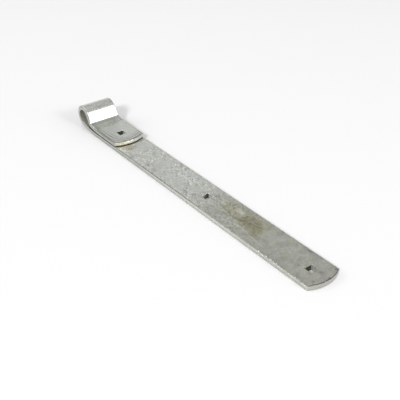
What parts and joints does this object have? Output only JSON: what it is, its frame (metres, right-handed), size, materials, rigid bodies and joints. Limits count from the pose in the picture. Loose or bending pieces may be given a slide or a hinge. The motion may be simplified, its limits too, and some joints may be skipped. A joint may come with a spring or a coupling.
{
  "type": "strap hinge leaf",
  "caption": "Galvanised gate hinge strap folded from flat bar, with a rolled eye for a gate pin, a short return leg and square carriage bolt holes.",
  "frame": {"origin": "bottom centre of the whole leaf, on the plane of the long leg's back face", "axes": "+X along the bar from the eye to the far tip, +Y across the bar along the eye's axis, +Z from the back face towards the return leg"},
  "size_m": [0.4049, 0.04, 0.0307],
  "materials": {
    "galvanised_steel": "hot-dip galvanised, matt grey with faint spangle, light rust stains and scratches"
  },
  "bodies": {
    "root": {"strap": "galvanised_steel"}
  },
  "joints": []
}
